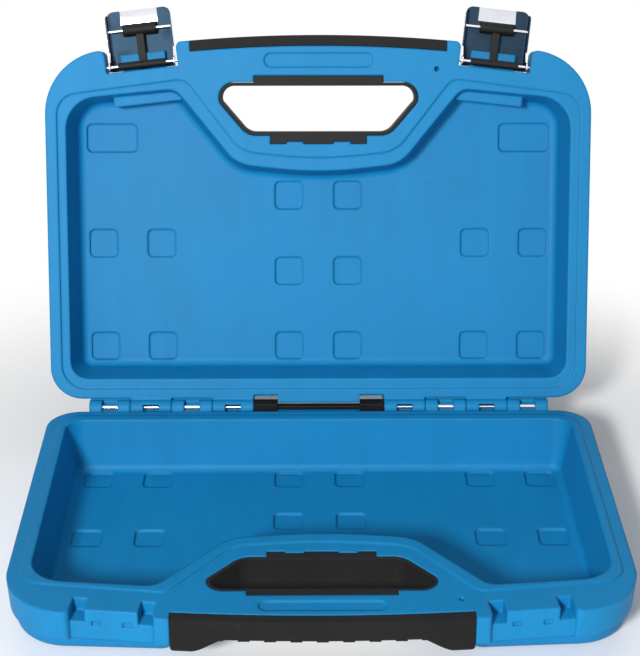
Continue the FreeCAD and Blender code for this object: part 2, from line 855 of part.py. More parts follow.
    # Latch recesses
    for hand in (-1, 1):
        add_channel_edges(label, cuts, hand)
        if lid:
            add_pivot_recess(cuts, hand)
        else:
            add_keeper(cuts, hand)
    return carve(label, join(f"{label}_whole", whole), join(f"{label}_cuts", cuts))


def front_outline(rear):
    """Plan of the shallow front: the rim's sides, corners and bowed front, from a rear inside the tub."""
    return [(f"-{HALF_WIDTH}", rear), (HALF_WIDTH, rear)] + rim_outline()[2:]


def clip_blocks(name, reach, gap, levels):
    """The two clips that reach from the shell over the rear edge of the liner's tab."""
    blocks = []
    for hand in (-1, 1):
        low = (f"({hand} * clip_x - clip_width / 2 - {gap})", f"({reach} - overrun)", levels[0])
        high = (f"({hand} * clip_x + clip_width / 2 + {gap})", f"({reach} + clip_length + {gap})", levels[1])
        blocks.append(block(name, low, high))
    return join(f"{name}_pair", blocks)


def add_channel_edges(label, cuts, hand):
    """Round the two upright edges where a latch channel runs out through the front."""
    frame = latch_frame(hand, "0")
    radius = "channel_edge_radius"
    for side in (-1, 1):
        far = f"({side} * (channel_half_width + {radius}))"
        ahead = f"({front_line(f'({hand} * {LATCH_X} + {far})')} - {PIVOT})"
        front = f"(({ahead} + {hand} * {far} * sin(latch_turn)) / cos(latch_turn))"
        ends = sorted([f"({side} * channel_half_width)", far], key=value)
        low = (ends[0], f"({front} - {radius})", "(-(front_depth + overrun))")
        high = (ends[1], f"({front} + overrun)", "(front_depth + overrun)")
        corner = block(f"{label}_channel_corner", low, high, frame)
        shoulder = doc.addObject("Part::Cylinder", f"{label}_channel_shoulder")
        shoulder.setExpression("Radius", bound(radius))
        shoulder.setExpression("Height", bound("(2 * (front_depth + overrun))"))
        put(shoulder, frame_of(far, low[1], low[2], (0, 0, 1), "0"), frame)
        cuts.append(carve(f"{label}_channel_edge", corner, shoulder))


def add_retainer_ledge(whole, cuts):
    """Ledge behind the base's rear wall, lower under the retainer's end blocks."""
    reach = "(hinge_gap + web_bite)"
    span = "(knuckle_start - knuckle_clearance)"
    low = "(block_half_height + ledge_gap)"
    high = "(pin_diameter / 2 - ledge_gap)"
    inner = "(knuckle_start - block_length - 2 * knuckle_clearance)"
    for name, half, top in (("low", span, low), ("high", inner, high)):
        profile = free_sketch(f"ledge_{name}_profile", "YZ_Plane", (f"(-{half})", "0", "0"))
        corners = [
            (reach, top),
            (reach, f"({low} + ledge_overhang + {reach})"),
            ("-ledge_overhang", f"({low} + peg_length)"),
            ("-ledge_overhang", top),
        ]
        draw_outline(profile, corners)
        whole.append(grow(f"ledge_{name}", profile, f"(2 * {half})"))
    for hand in (-1, 1):
        x = f"({hand} * {PEG_X})"
        wide = "(peg_diameter + 2 * peg_clearance)"
        cuts.append(upright("peg_hole", x, "0", low, wide, "(peg_length + peg_clearance)"))


def add_keeper(cuts, hand):
    """Channel in the base for a closed latch: keeper block, ear pockets and the two dimples."""
    frame = latch_frame(hand, "0")
    deep = "(front_depth + overrun)"
    low = ("(-channel_half_width)", "channel_front_gap", "-overrun")
    cuts.append(block("keeper_channel", low, ("channel_half_width", "channel_reach", deep), frame))
    for side in (-1, 1):
        ends = sorted([f"({side} * channel_half_width)", f"({side} * keeper_half_width)"], key=value)
        low = (ends[0], "(-channel_rear_gap)", "-overrun")
        high = (ends[1], "(channel_front_gap + overrun)", "pocket_depth")
        cuts.append(block("ear_pocket", low, high, frame))
        centre = f"({side} * dimple_offset)"
        low = (f"({centre} - dimple_width / 2)", "(channel_front_gap - dimple_depth)", "dimple_level")
        high = (
            f"({centre} + dimple_width / 2)",
            "(channel_front_gap + overrun)",
            "(dimple_level + dimple_height)",
        )
        cuts.append(block("dimple", low, high, frame))


def add_pivot_recess(cuts, hand):
    """Recess in the lid for the latch pivot: a thin tongue stays behind the open latch."""
    frame = latch_frame(hand, "0")
    far = "(-(front_depth + overrun))"
    rear = "(-channel_rear_gap)"
    wide = "channel_half_width"
    recess = [
        ("pivot_recess", "(-channel_half_width)", rear, "(-tongue_depth)", "overrun"),
        ("cover_recess", "(-channel_half_width)", rear, far, "(-(tongue_depth + tongue_thickness))"),
        ("tongue_end", "(-channel_half_width)", "channel_front_gap", far, "overrun"),
    ]
    for name, left, back, top, bottom in recess:
        cuts.append(block(name, (left, back, top), (wide, "channel_reach", bottom), frame))
    for side in (-1, 1):
        ends = sorted([f"({side} * channel_half_width)", f"({side} * keeper_half_width)"], key=value)
        low = (ends[0], rear, far)
        cuts.append(block("flange_slot", low, (ends[1], "channel_reach", "overrun"), frame))
    start = "(-(channel_half_width + rod_bite))"
    wide = "(rod_diameter / 2 + rod_clearance)"
    pivot = latch_frame(hand, "(-pivot_depth)")
    cuts.append(rod_across("pivot_bore", start, f"(-2 * {start})", wide, frame=pivot))


def ahead_of_grip():
    """A place ahead of the whole front edge."""
    return f"({FRONT_REACH} + overrun)"


def make_grip(label, lid):
    """Grip shell around the handle bar: a long strip with feet at both ends and finger ribs."""
    sign = "-" if lid else ""
    half = "(grip_half_width - grip_clearance)"
    rear = f"({HAND_FRONT} + grip_clearance)"
    gap = "parting_gap"
    rounding = "grip_edge_radius"
    reach = f"({FRONT_REACH} - front_fall)"
    corners, bow = strip_outline(half, rear)
    depth = "(grip_depth - parting_gap)"
    middle = make_form(f"{label}_middle", corners, depth, lid, None, rounding, gap, bow, reach)
    corners, bow = strip_outline("(grip_half_width + overrun)", rear)
    depth = "(grip_foot_depth - parting_gap)"
    envelope = make_form(f"{label}_envelope", corners, depth, lid, None, rounding, gap, bow, reach)

    # The feet have a round outer corner and fall away to the middle along a slant
    slant = "((grip_foot_outer - grip_foot_inner) / (grip_foot_depth - grip_depth))"
    start = f"(grip_foot_inner - {slant} * grip_edge_radius)"
    feet = []
    for hand in (-1, 1):
        profile = free_sketch(f"{label}_foot_profile", "XZ_Plane", ("0", ahead_of_grip(), "0"))
        draw_outline(
            profile,
            [
                (f"({hand} * {start})", f"({sign}parting_gap)"),
                (f"({hand} * {half})", f"({sign}parting_gap)"),
                (f"({hand} * {half})", f"({sign}grip_foot_depth)", "grip_foot_corner_radius"),
                (f"({hand} * grip_foot_outer)", f"({sign}grip_foot_depth)", "grip_foot_radius"),
                (f"({hand} * {start})", f"({sign}(grip_depth - grip_edge_radius))"),
            ],
        )
        feet.append(grow(f"{label}_foot_reach", profile, "(front_corner_radius + 2 * overrun)"))
    foot_form = overlap(f"{label}_feet", [envelope, join(f"{label}_foot_span", feet)])

    # Finger ribs: short rods laid in the rounded lower edge, a little proud of it
    ribs = []
    nearer = "((grip_edge_radius + rib_height - rib_radius) / sqrt(2) - grip_edge_radius)"
    for place in range(int(value("rib_count"))):
        middle_x = f"(({place} - (rib_count - 1) / 2) * rib_pitch)"
        start = f"({middle_x} - rib_width / 2)"
        along = f"({front_line(middle_x)} + {nearer})"
        level = f"({sign}(grip_depth + {nearer}))"
        ribs.append(rod_across(f"{label}_rib", start, "rib_width", "rib_radius", along, level))

    # Hollow that takes the bar of the shell
    plan = free_sketch(f"{label}_hollow_plan", at=("0", "0", "overrun" if lid else "(-overrun)"))
    inset = "(grip_strip - grip_clearance)"
    corners, bow = strip_outline("(grip_half_width + overrun)", f"({HAND_FRONT} - overrun)", inset)
    draw_outline(plan, corners, bow)
    hollow = grow(f"{label}_hollow", plan, "(bar_depth + grip_clearance + overrun)", lid)
    return carve(label, join(f"{label}_whole", [middle, foot_form] + ribs), hollow)


def make_liner(label, lid):
    """Lining of the hand opening: a wall around it and two tabs let into the rim."""
    sign = "-" if lid else ""
    plan = free_sketch(f"{label}_outer_plan", at=("0", "0", f"{sign}parting_gap"))
    draw_outline(plan, hand_outline("liner_clearance"))
    wall = grow(f"{label}_wall", plan, "(liner_depth - parting_gap)", lid)
    low_z, high_z = depths("parting_gap", "tab_thickness", lid)
    tabs = []
    reach = f"({HAND_REAR} - rear_tab_length)"
    edge = f"({HAND_FRONT} + front_tab_length - liner_clearance)"
    for name, rear, front in (
        ("front", f"({HAND_FRONT} - overrun)", edge),
        ("rear", f"({reach} + liner_clearance)", f"({HAND_REAR} + overrun)"),
    ):
        half = f"({name}_tab_half_width - liner_clearance)"
        tabs.append(block(f"{label}_{name}_tab", (f"(-{half})", rear, low_z), (half, front, high_z)))
    plan = free_sketch(f"{label}_inner_plan", at=("0", "0", "overrun" if lid else "(-overrun)"))
    draw_outline(plan, hand_outline("(liner_clearance + liner_wall)"))
    inner = grow(f"{label}_inner", plan, "(liner_depth + 2 * overrun)", lid)
    low_z, high_z = depths("grip_depth", "(liner_depth + overrun)", lid)
    low = ("(-(hand_half_width + overrun))", behind("hand_widest"), low_z)
    high = ("(hand_half_width + overrun)", f"({HAND_FRONT} + overrun)", high_z)
    step = block(f"{label}_step", low, high)
    levels = depths("-overrun", "(tab_thickness + overrun)", lid)
    notches = clip_blocks(f"{label}_clip_notch", reach, "liner_clearance", levels)
    cuts = join(f"{label}_cuts", [inner, step, notches])
    return carve(label, join(f"{label}_whole", [wall] + tabs), cuts)


def make_hinge_pin(label, hand):
    """Steel pin through four knuckles on one side."""
    length = "(knuckle_count * knuckle_length - pin_end_wall - pin_end_gap)"
    start = "knuckle_start" if hand > 0 else f"(-knuckle_start - {length})"
    return carry(label, [rod_across(f"{label}_rod", start, length, "(pin_diameter / 2)")])


def make_retainer(label):
    """Black clip that keeps both hinge pins in: a thin bar between two blocks with pegs."""
    parts = []
    tall = "block_half_height"
    for hand in (-1, 1):
        ends = sorted([f"({hand} * {BLOCK_OUTER})", f"({hand} * {BLOCK_INNER})"], key=value)
        low = (ends[0], f"(-{tall})", f"(-{tall})")
        parts.append(block(f"{label}_block", low, (ends[1], tall, tall)))
        x = f"({hand} * {PEG_X})"
        parts.append(upright(f"{label}_peg", x, "0", tall, "peg_diameter", "peg_length"))
    bottom = "(pin_diameter / 2 - 2 * ledge_gap)"
    low = (f"(-{BLOCK_INNER} - stop_gap)", "(-retainer_bar_width / 2)", "(-retainer_bar_rise)")
    high = (f"({BLOCK_INNER} + stop_gap)", "(retainer_bar_width / 2)", bottom)
    parts.append(block(f"{label}_bar", low, high))
    return carry(label, parts)


def make_cover(label):
    """Bent steel cover of a latch: a channel with ears for the pivot and a flared thumb lip."""
    half = "(cover_width / 2)"
    inside = f"({half} - cover_sheet)"
    plate = "(-cover_reach)"
    outer = "(-(cover_reach + cover_sheet))"
    bend = "cover_bend_radius"
    inner_bend = "(cover_bend_radius - cover_sheet)"
    section = free_sketch(f"{label}_section", "XZ_Plane", ("0", "(cover_length + overrun)", "0"))
    draw_outline(
        section,
        [
            (f"(-{half})", outer, bend),
            (half, outer, bend),
            (half, "overrun"),
            (inside, "overrun"),
            (inside, plate, inner_bend),
            (f"(-{inside})", plate, inner_bend),
            (f"(-{inside})", "overrun"),
            (f"(-{half})", "overrun"),
        ],
    )
    channel = grow(f"{label}_channel", section, "(cover_length + 3 * overrun)")
    side = free_sketch(f"{label}_side", "YZ_Plane", (f"(-{half} - overrun)", "0", "0"))
    ear = "(ear_radius - rod_clearance)"
    flange = "(cover_flange - cover_reach - cover_sheet)"
    draw_outline(
        side,
        [
            ("(-ear_radius)", f"({outer} - overrun)"),
            ("(cover_length + overrun)", f"({outer} - overrun)"),
            ("(cover_length + overrun)", flange),
            ("cover_shoulder", flange, "cover_shoulder_radius"),
            ("ear_radius", "(-ear_radius)", "stem_bend_radius"),
            ("ear_radius", "ear_radius", ear),
            ("(-ear_radius)", "ear_radius", ear),
        ],
    )
    trim = grow(f"{label}_trim", side, f"(2 * ({half} + overrun))")
    plan = free_sketch(f"{label}_plan", at=("0", "0", f"({outer} - overrun)"))
    draw_outline(
        plan,
        [
            (f"(-{half})", "(-ear_radius)"),
            (half, "(-ear_radius)"),
            (half, "cover_length", "cover_corner_radius"),
            (f"(-{half})", "cover_length", "cover_corner_radius"),
        ],
    )
    ends = grow(f"{label}_ends", plan, "(cover_reach + ear_radius + 2 * overrun)")
    shaped = overlap(f"{label}_shaped", [channel, trim, ends])

    # Thumb lip: the middle of the far end pressed outwards between two cheeks
    begin = "(cover_length - lip_length)"
    low = ("(-(lip_half_width - cover_sheet))", begin, f"({outer} - overrun)")
    high = ("(lip_half_width - cover_sheet)", "(cover_length + overrun)", f"({plate} + overrun)")
    opened = carve(f"{label}_opened", shaped, block(f"{label}_lip_opening", low, high))
    cheek = [
        (begin, plate),
        (begin, outer),
        ("cover_length", f"({outer} - lip_rise)"),
        ("cover_length", plate),
    ]
    pressed = []
    for start in ("(-lip_half_width)", "(lip_half_width - cover_sheet)"):
        profile = free_sketch(f"{label}_cheek_profile", "YZ_Plane", (start, "0", "0"))
        draw_outline(profile, cheek)
        pressed.append(grow(f"{label}_cheek", profile, "cover_sheet"))
    profile = free_sketch(f"{label}_lip_profile", "YZ_Plane", ("(-lip_half_width)", "0", "0"))
    draw_outline(
        profile,
        [
            (f"({begin} - cover_sheet)", outer),
            (begin, outer),
            ("cover_length", f"({outer} - lip_rise)"),
            ("cover_length", f"({plate} - lip_rise)"),
            (begin, plate),
            (f"({begin} - cover_sheet)", plate),
        ],
    )
    pressed.append(grow(f"{label}_lip", profile, "(2 * lip_half_width)"))
    holes = []
    for name, along, level in (("pivot", "0", "0"), ("barrel", "barrel_along", "(-barrel_offset)")):
        start = f"(-{half} - overrun)"
        wide = "(rod_diameter / 2 + rod_clearance)"
        hole = rod_across(f"{label}_{name}_hole", start, f"(-2 * {start})", wide, along, level)
        holes.append(hole)
    return carve(label, join(f"{label}_whole", [opened] + pressed), join(f"{label}_holes", holes))


def make_insert(label):
    """Black moulding of a latch: a sleeve on each pin and the cranked stem between them."""
    sleeve = rod_across(f"{label}_bar", "(-bar_length / 2)", "bar_length", "(bar_diameter / 2)")
    barrel = rod_across(
        f"{label}_barrel",
        "(-barrel_length / 2)",
        "barrel_length",
        "(barrel_diameter / 2)",
        "barrel_along",
        "(-barrel_offset)",
    )
    near = "(-(stem_offset - stem_thickness / 2))"
    far = "(-(stem_offset + stem_thickness / 2))"
    profile = free_sketch(f"{label}_stem_profile", "YZ_Plane", ("(-stem_width / 2)", "0", "0"))
    draw_outline(
        profile,
        [
            ("(-stem_thickness / 2)", "0"),
            ("(-stem_thickness / 2)", far, "(stem_bend_radius + stem_thickness / 2)"),
            ("barrel_along", far),
            ("barrel_along", near),
            ("(stem_thickness / 2)", near, "(stem_bend_radius - stem_thickness / 2)"),
            ("(stem_thickness / 2)", "0"),
        ],
    )
    stem = grow(f"{label}_stem", profile, "stem_width")
    holes = []
    for name, along, level in (("pivot", "0", "0"), ("barrel", "barrel_along", "(-barrel_offset)")):
        wide = "(rod_diameter / 2 + rod_clearance)"
        start = "(-bar_length / 2 - overrun)"
        hole = rod_across(f"{label}_{name}_bore", start, f"(-2 * {start})", wide, along, level)
        holes.append(hole)
    return carve(label, join(f"{label}_whole", [sleeve, barrel, stem]), join(f"{label}_bores", holes))


# The pieces, each put where it sits with the case open

BASE_FRAME = frame_of("0", HINGE_Y, HINGE_Z, (1, 0, 0), "180")
LID_FRAME = frame_of("0", HINGE_Y, HINGE_Z, (1, 0, 0), "(180 - open_angle)")

pieces = {
    "base_shell": (make_shell("base_shell", 1, "base_depth", "base_floor_depth", (1, 3)), BASE_FRAME),
    "lid_shell": (make_shell("lid_shell", -1, "lid_depth", "lid_floor_depth", (0, 2)), LID_FRAME),
    "hinge_pin_left": (make_hinge_pin("hinge_pin_left", -1), BASE_FRAME),
    "hinge_pin_right": (make_hinge_pin("hinge_pin_right", 1), BASE_FRAME),
    "hinge_pin_retainer": (make_retainer("hinge_pin_retainer"), BASE_FRAME),
    "base_grip": (make_grip("base_grip", False), BASE_FRAME),
    "lid_grip": (make_grip("lid_grip", True), LID_FRAME),
    "base_handle_liner": (make_liner("base_handle_liner", False), BASE_FRAME),
    "lid_handle_liner": (make_liner("lid_handle_liner", True), LID_FRAME),
}
for name, hand in (("left", -1), ("right", 1)):
    frame = f"{LID_FRAME} * {latch_frame(hand, '(-pivot_depth)')}"
    cover = make_cover(f"{name}_latch_cover")
    insert = make_insert(f"{name}_latch_insert")
    reach = "(channel_half_width + rod_bite)"
    rod = "(rod_diameter / 2)"
    label = f"{name}_latch_pivot_pin"
    pivot = carry(label, [rod_across(f"{label}_rod", f"(-{reach})", f"(2 * {reach})", rod)])
    label = f"{name}_latch_barrel_pin"
    half = "(cover_width / 2)"
    rod_piece = rod_across(
        f"{label}_rod", f"(-{half})", "cover_width", rod, "barrel_along", "(-barrel_offset)"
    )
    pieces[f"{name}_latch_cover"] = (cover, frame)
    pieces[f"{name}_latch_insert"] = (insert, frame)
    pieces[f"{name}_latch_pivot_pin"] = (pivot, frame)
    pieces[f"{name}_latch_barrel_pin"] = (carry(label, [rod_piece]), frame)

for name, (piece, frame) in pieces.items():
    piece.Label = name
    piece.setExpression("Placement", bound(frame))

doc.recompute()

# Every feature is sound before anything is written
for item in doc.Objects:
    if "Invalid" in item.State or "Error" in item.State:
        raise ValueError(f"{item.Label} is not worked out: {item.State}")
for name, (piece, frame) in pieces.items():
    if piece.Shape.isNull() or not piece.Shape.isValid() or not piece.Shape.Solids:
        raise ValueError(f"{name} has no sound solid")

os.makedirs("parts", exist_ok=True)
for name, (piece, frame) in pieces.items():
    piece.Shape.exportStep(f"parts/{name}.step")
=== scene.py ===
"""Looks, lights and camera for a hard tool case that stands open on its base."""

import json
import math

import bpy
from mathutils import Matrix, Vector


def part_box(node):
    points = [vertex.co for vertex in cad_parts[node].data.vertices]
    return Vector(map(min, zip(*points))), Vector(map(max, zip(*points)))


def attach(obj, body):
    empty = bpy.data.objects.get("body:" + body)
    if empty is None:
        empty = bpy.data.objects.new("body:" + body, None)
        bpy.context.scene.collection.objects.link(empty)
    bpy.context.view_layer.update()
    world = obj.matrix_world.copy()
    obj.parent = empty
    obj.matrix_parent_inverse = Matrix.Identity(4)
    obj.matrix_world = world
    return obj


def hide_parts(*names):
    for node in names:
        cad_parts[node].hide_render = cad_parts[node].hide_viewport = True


bl_info = {
    "name": "Hard tool case",
    "version": (1, 0, 0),
    "blender": (4, 5, 0),
    "location": "View3D > Sidebar > Tool case",
    "description": "Finishes every piece of an open moulded tool case and sets its studio",
    "category": "Object",
}

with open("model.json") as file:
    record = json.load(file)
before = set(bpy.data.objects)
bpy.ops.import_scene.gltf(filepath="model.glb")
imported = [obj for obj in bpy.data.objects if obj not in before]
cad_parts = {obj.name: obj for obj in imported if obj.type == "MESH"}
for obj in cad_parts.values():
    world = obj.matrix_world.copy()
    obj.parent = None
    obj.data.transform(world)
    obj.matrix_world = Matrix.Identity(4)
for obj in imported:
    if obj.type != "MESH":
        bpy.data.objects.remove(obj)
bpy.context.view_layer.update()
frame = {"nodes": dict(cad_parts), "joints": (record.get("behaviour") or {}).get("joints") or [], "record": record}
NODES = frame["nodes"]
BODIES = frame["record"]["behaviour"]["bodies"]
BODY_OF = {node: body for body, nodes in BODIES.items() for node in nodes}
AXES = {joint["name"]: joint["axis"] for joint in frame["joints"]}

# Points closer than MERGED become one, and so do faces that turn less than LEVEL against each other
MERGED = 1e-6
LEVEL = math.radians(0.3)
# Edges that turn more than CORNER are rounded, and those that turn more than CREASE are shaded crisp
CORNER = math.radians(28)
CREASE = math.radians(32)
ROUNDING_SEGMENTS = 2
SOFT_SAMPLES = 8
# A latch insert gets this share of the rounding of the other black mouldings
INSERT_SHARE = 0.6
# Cosines: a face is of a latch cover's plate if its normal agrees with the plate's by more than FLAT,
# and of a cheek or its bend if the normal leans to the latch's axis by more than BENT
FLAT = 0.985
BENT = 0.2

# Colours, and the darkest and palest tone of a surface as shares of its colour
WHITE = (1, 1, 1, 1)
HINGE_STEEL = (0.66, 0.66, 0.67)
LATCH_STEEL = (0.7, 0.7, 0.71)
BLUE_TONES = (0.93, 1.07)
BLACK_TONES = (0.85, 1.25)
METAL_TONES = (0.94, 1.04)
MARK_TONE = 0.82
# What rubbing adds to a colour
BLUE_RUBBED = (0.05, 0.07, 0.07)
BLACK_RUBBED = 0.02
# Length over which the grain of a black moulding repeats
GRIP_GRAIN = 0.0005
SMOOTH_GRAIN = 0.0009
# Scale of the streaks in the metal along x, y and z
PIN_STREAKS = (9, 900, 900)
COVER_STREAKS = (40, 700, 40)
# Height of the relief of each texture
BLUE_RELIEF = 0.0002
BLACK_RELIEF = 0.0003
METAL_RELIEF = 0.0001
# Specular level of each plastic, where 0.5 leaves the reflection as the IOR gives it
BLUE_IOR = 1.5
BLUE_MIRROR = 0.22
BLACK_MIRROR = 0.2

FLOOR_COLOUR = (0.97, 0.97, 0.97, 1)
FLOOR_ROUGHNESS = 0.8
FLOOR_SIDE = 14
FLOOR_LEVEL = -0.0005
# Distances from the middle of the floor between which it turns from lit to plain white
FLOOR_FADE = (0.25, 0.5)
# A ray other than the camera's passes the floor if it is shorter than the first length, and meets it
# if it is longer than the second
CONTACT = (0.002, 0.003)

KEY_PLACE = (-0.52, -1.66, 0.97)
KEY_TARGET = (0, 0, 0.06)
TOP_PLACE = (0.1, 0.1, 1.7)
TOP_TARGET = (0, 0.05, 0)
TOP_SIDE = 1.4
SENSOR_WIDTH = 36
CLIP_START = 0.01


# Settings that a user may change


class MouldingSettings(bpy.types.PropertyGroup):
    """Blue shells"""

    blue: bpy.props.FloatVectorProperty(
        name="Blue",
        description="Colour of the polyethylene shells",
        subtype="COLOR",
        size=3,
        min=0,
        max=1,
        default=(0.003, 0.184, 0.412),
    )
    edge: bpy.props.FloatProperty(
        name="Edge rounding",
        description="Radius left on the moulding's corners",
        unit="LENGTH",
        default=0.0007,
        min=0,
    )
    soft: bpy.props.FloatProperty(
        name="Soft edges",
        description="Radius over which light runs round the moulding's edges",
        unit="LENGTH",
        default=0.0022,
        min=0,
    )
    grain: bpy.props.FloatProperty(
        name="Grain size",
        description="Length over which the moulded texture repeats",
        unit="LENGTH",
        default=0.0008,
        min=0.0001,
    )


class FittingSettings(bpy.types.PropertyGroup):
    """Black and bright fittings"""

    black: bpy.props.FloatVectorProperty(
        name="Black",
        description="Colour of the grips, liners and latch sleeves",
        subtype="COLOR",
        size=3,
        min=0,
        max=1,
        default=(0.0060, 0.0058, 0.0058),
    )
    plating: bpy.props.FloatVectorProperty(
        name="Plating",
        description="Colour of the bright latch covers",
        subtype="COLOR",
        size=3,
        min=0,
        max=1,
        default=(0.74, 0.76, 0.80),
    )
    # Dark navy colour painted on the inside of a latch cover as a painted reflection of dark and blue surroundings
    inside: bpy.props.FloatVectorProperty(
        name="Inside of the covers",
        description="Colour of the painted dark reflection that the inside of a latch cover gets",
        subtype="COLOR",
        size=3,
        min=0,
        max=1,
        default=(0.016, 0.031, 0.050),
    )
    soft: bpy.props.FloatProperty(
        name="Soft edges",
        description="Radius over which light runs round the black mouldings' edges",
        unit="LENGTH",
        default=0.0007,
        min=0,
    )
    edge: bpy.props.FloatProperty(
        name="Edge rounding",
        description="Radius left on the black mouldings",
        unit="LENGTH",
        default=0.0005,
        min=0,
    )
    sheet_edge: bpy.props.FloatProperty(
        name="Sheet edge",
        description="Radius left on the bent sheet and the pins",
        unit="LENGTH",
        default=0.0002,
        min=0,
    )


class StudioSettings(bpy.types.PropertyGroup):
    """Lamps, room light and camera"""

    key_power: bpy.props.FloatProperty(
        name="Key lamp", description="Power of the small lamp at the front left", default=43, min=0
    )
    key_size: bpy.props.FloatProperty(
        name="Key size", description="Side of the key lamp", unit="LENGTH", default=0.24, min=0.01
    )
    top_power: bpy.props.FloatProperty(
        name="Top lamp", description="Power of the large lamp overhead", default=4, min=0
    )
    world_light: bpy.props.FloatProperty(
        name="Room light", description="Even light from all sides", default=0.24, min=0
    )
    camera_place: bpy.props.FloatVectorProperty(
        name="Camera place",
        description="Where the camera stands",
        subtype="TRANSLATION",
        size=3,
        default=(-0.01007, -0.8972, 0.5948),
    )
    camera_pitch: bpy.props.FloatProperty(
        name="Camera pitch",
        description="How far the camera looks down",
        subtype="ANGLE",
        default=math.radians(25.74),
    )
    camera_yaw: bpy.props.FloatProperty(
        name="Camera yaw",
        description="How far the camera looks to the right",
        subtype="ANGLE",
        default=math.radians(0.6),
    )
    camera_roll: bpy.props.FloatProperty(
        name="Camera roll",
        description="Tilt of the camera about its own axis",
        subtype="ANGLE",
        default=math.radians(0.12),
    )
    lens: bpy.props.FloatProperty(
        name="Lens", description="Focal length on a 36 mm frame", default=94.51, min=1
    )


# Shader maths as plain expressions


class Wire:
    """A socket in one tree, with arithmetic on it."""

    def __init__(self, tree, socket):
        self.tree = tree
        self.socket = socket

    def node(self, kind, settings=None, out=0, **inputs):
        """Add a node, set it up, feed its sockets and return one of its outputs.

        A socket is named, or given by its place as i and a number.
        """
        made = self.tree.nodes.new(kind)
        for key, setting in (settings or {}).items():
            setattr(made, key, setting)
        for key, fed in inputs.items():
            numbered = key[0] == "i" and key[1:].isdigit()
            socket = made.inputs[int(key[1:]) if numbered else key.replace("_", " ")]
            if isinstance(fed, Wire):
                self.tree.links.new(fed.socket, socket)
            else:
                socket.default_value = fed
        return Wire(self.tree, made.outputs[out])

    def maths(self, operation, *terms):
        fed = {f"i{place}": term for place, term in enumerate(terms)}
        return self.node("ShaderNodeMath", {"operation": operation}, **fed)

    def __add__(self, other):
        return self.maths("ADD", self, other)

    __radd__ = __add__

    def __rsub__(self, other):
        return self.maths("SUBTRACT", other, self)

    def __mul__(self, other):
        return self.maths("MULTIPLY", self, other)

    def clamp(self):
        return self.node("ShaderNodeClamp", Value=self)

    def band(self, low, high):
        """0 below low, 1 above high, eased between."""
        return self.node(
            "ShaderNodeMapRange",
            {"interpolation_type": "SMOOTHSTEP"},
            Value=self,
            From_Min=low,
            From_Max=high,
        )

    def mix(self, first, second):
        """Blend two colours by this value."""
        return self.node(
            "ShaderNodeMix",
            {"data_type": "RGBA", "clamp_factor": True},
            out=2,
            i0=self,
            i6=first,
            i7=second,
        )

    def noise(self, scale, detail, roughness):
        return self.node("ShaderNodeTexNoise", Vector=self, Scale=scale, Detail=detail, Roughness=roughness)

    def stretched(self, x, y, z):
        return self.node("ShaderNodeMapping", Vector=self, Scale=(x, y, z))

    def softened(self, radius):
        """The surface's normal, run round its edges as on a moulding."""
        return self.node("ShaderNodeBevel", {"samples": SOFT_SAMPLES}, Radius=radius)

    def bump(self, strength, distance, normal=None):
        inputs = {"Height": self, "Strength": strength, "Distance": distance}
        if normal:
            inputs["Normal"] = normal
        return self.node("ShaderNodeBump", **inputs)


def new_material(name):
    """Start a material and return it with its shader and the place on the piece."""
    made = bpy.data.materials.new(name)
    made.use_nodes = True
    tree = made.node_tree
    place = Wire(tree, tree.nodes.new("ShaderNodeTexCoord").outputs["Object"])
    return made, tree.nodes["Principled BSDF"], place


def feed(shader, **wires):
    for key, fed in wires.items():
        socket = shader.inputs[key.replace("_", " ")]
        if isinstance(fed, Wire):
            fed.tree.links.new(fed.socket, socket)
        else:
            socket.default_value = fed


def opaque(colour):
    return (colour[0], colour[1], colour[2], 1.0)


def shade(colour, share):
    """The same colour, lighter or darker by a share."""
    return opaque([min(1.0, part * share) for part in colour])


def tones(colour, ends):
    """The darkest and the palest tone of a colour."""
    return [shade(colour, share) for share in ends]


def moulded_blue(settings):
    """Blow-moulded polyethylene: satin, finely grained, paler where it is rubbed."""
    made, shader, place = new_material("blue_moulding")
    blue = settings.blue
    cloud = place.noise(scale=9, detail=4, roughness=0.55)
    flow = place.stretched(90, 14, 14).noise(scale=1, detail=4, roughness=0.6)
    grain = place.noise(scale=1 / settings.grain, detail=2, roughness=0.5)
    scuff = place.stretched(60, 420, 420).noise(scale=1, detail=5, roughness=0.7).band(0.62, 0.74)
    tone = (cloud * 0.6 + flow * 0.4).band(0.3, 0.7)
    body = tone.mix(*tones(blue, BLUE_TONES))
    paler = opaque([part + more for part, more in zip(blue, BLUE_RUBBED)])
    height = grain * 0.6 + flow * 0.25
    feed(
        shader,
        Base_Color=(scuff * 0.3).mix(body, paler),
        Roughness=0.5 + grain * 0.06 + cloud * 0.07 + scuff * 0.08,
        Normal=height.bump(0.22, BLUE_RELIEF, place.softened(settings.soft)),
        IOR=BLUE_IOR,
        Specular_IOR_Level=BLUE_MIRROR,
    )
    return made


def moulded_black(name, settings, grain, rough, strength):
    """Black moulding with a fine or a coarse grain."""
    made, shader, place = new_material(name)
    black = settings.black
    cloud = place.noise(scale=22, detail=3, roughness=0.55)
    fine = place.noise(scale=1 / grain, detail=2, roughness=0.55)
    rub = place.stretched(140, 40, 140).noise(scale=1, detail=5, roughness=0.7).band(0.6, 0.75)
    tone = cloud.band(0.35, 0.65).mix(*tones(black, BLACK_TONES))
    feed(
        shader,
        Base_Color=(rub * 0.35).mix(tone, opaque([part + BLACK_RUBBED for part in black])),
        Roughness=rough + fine * 0.08 + cloud * 0.08,
        Normal=fine.bump(strength, BLACK_RELIEF, place.softened(settings.soft)),
        Specular_IOR_Level=BLACK_MIRROR,
    )
    return made


